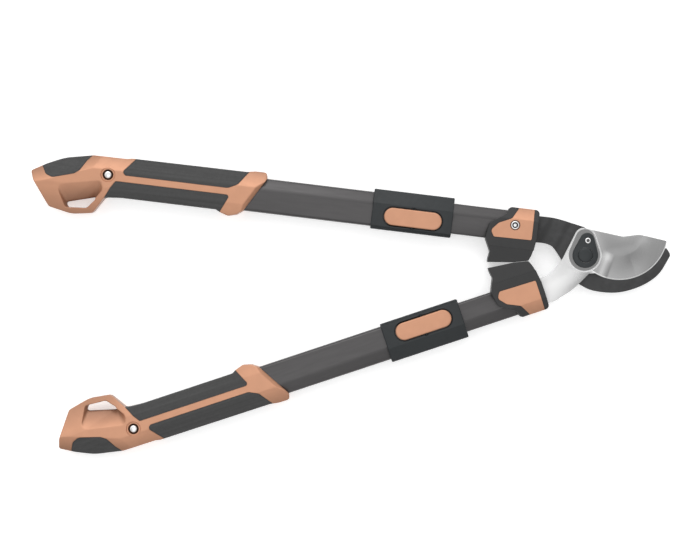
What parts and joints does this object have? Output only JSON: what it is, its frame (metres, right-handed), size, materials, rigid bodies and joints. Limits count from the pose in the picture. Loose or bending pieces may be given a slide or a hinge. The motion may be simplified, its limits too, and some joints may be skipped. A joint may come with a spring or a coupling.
{
  "type": "bypass loppers",
  "caption": "Two-handed bypass loppers: curved blade and hook on one pivot, telescopic oval-section handles with rocker latches and soft grips.",
  "frame": {"origin": "the pivot's axis, at the pivot bolt's flat lower end, which is level with the grips' flat backs and the table the tool lies on", "axes": "+X along the closed tool from the handles to the blades, halving the angle between the arms; +Y towards the arm of the hook; +Z along the pivot's axis, up through the cutting blade"},
  "size_m": [0.6766, 0.321, 0.032],
  "materials": {
    "copper_plastic": "satin, slightly pearlescent copper",
    "grip_rubber": "soft matt, finely textured",
    "bumper_rubber": "soft matt",
    "black_plastic": "fine satin",
    "gunmetal_tube": "gunmetal powder coat, satin",
    "coated_steel": "dark non-stick coating, satin",
    "blade_steel": "ground and brushed",
    "bright_steel": "bright zinc",
    "spring_steel": "plain",
    "lock_plate_black": "black oxide, satin"
  },
  "bodies": {
    "hook_arm": {"hook_jaw": "coated_steel", "pivot_washer": "spring_steel", "upper_bumper_housing": "black_plastic", "upper_bumper_insert": "copper_plastic", "upper_bumper_pad": "bumper_rubber", "upper_bumper_bolt": "bright_steel", "upper_bumper_nut": "bright_steel", "upper_inner_tube": "gunmetal_tube", "upper_tang_socket": "black_plastic", "upper_tube_foot": "black_plastic"},
    "blade_arm": {"cutting_blade": "blade_steel", "pivot_bolt": "lock_plate_black", "pivot_nut": "coated_steel", "lock_plate": "lock_plate_black", "lock_plate_screw": "bright_steel", "lower_bumper_housing": "black_plastic", "lower_bumper_insert": "copper_plastic", "lower_bumper_pad": "bumper_rubber", "lower_bumper_bolt": "bright_steel", "lower_bumper_nut": "bright_steel", "lower_inner_tube": "gunmetal_tube", "lower_tang_socket": "black_plastic", "lower_tube_foot": "black_plastic"},
    "upper_handle": {"upper_outer_tube": "gunmetal_tube", "upper_lock_collar": "black_plastic", "upper_collar_bush": "black_plastic", "upper_button_pin": "bright_steel", "upper_button_spring": "spring_steel", "upper_grip_body": "copper_plastic", "upper_grip_outer_panel": "grip_rubber", "upper_grip_inner_panel": "grip_rubber", "upper_grip_end_pad": "grip_rubber", "upper_grip_screw": "bright_steel", "upper_grip_nut": "bright_steel"},
    "lower_handle": {"lower_outer_tube": "gunmetal_tube", "lower_lock_collar": "black_plastic", "lower_collar_bush": "black_plastic", "lower_button_pin": "bright_steel", "lower_button_spring": "spring_steel", "lower_grip_body": "copper_plastic", "lower_grip_outer_panel": "grip_rubber", "lower_grip_inner_panel": "grip_rubber", "lower_grip_end_pad": "grip_rubber", "lower_grip_screw": "bright_steel", "lower_grip_nut": "bright_steel"},
    "upper_button": {"upper_rocker_button": "copper_plastic", "upper_latch_peg": "bright_steel"},
    "lower_button": {"lower_rocker_button": "copper_plastic", "lower_latch_peg": "bright_steel"}
  },
  "joints": [
    {"name": "pivot", "type": "hinge", "parent": "hook_arm", "child": "blade_arm", "pos_m": [0, 0, 0], "axis": [0, 0, 1], "range_deg": [0, 48]},
    {"name": "upper_telescope", "type": "slide", "parent": "hook_arm", "child": "upper_handle", "axis": [-0.9758, 0.2187, 0], "range_m": [0, 0.28]},
    {"name": "lower_telescope", "type": "slide", "parent": "blade_arm", "child": "lower_handle", "axis": [-0.9758, -0.2187, 0], "range_m": [0, 0.28]},
    {"name": "upper_latch", "type": "hinge", "parent": "upper_handle", "child": "upper_button", "pos_m": [-0.18135, 0.05732, 0.0292], "axis": [-0.2187, -0.9758, 0], "range_deg": [0, 5], "stiffness_Nm_per_rad": 0.3, "deforming": ["upper_button_spring"]},
    {"name": "lower_latch", "type": "hinge", "parent": "lower_handle", "child": "lower_button", "pos_m": [-0.18135, -0.05732, 0.0292], "axis": [0.2187, -0.9758, 0], "range_deg": [0, 5], "stiffness_Nm_per_rad": 0.3, "deforming": ["lower_button_spring"]}
  ]
}
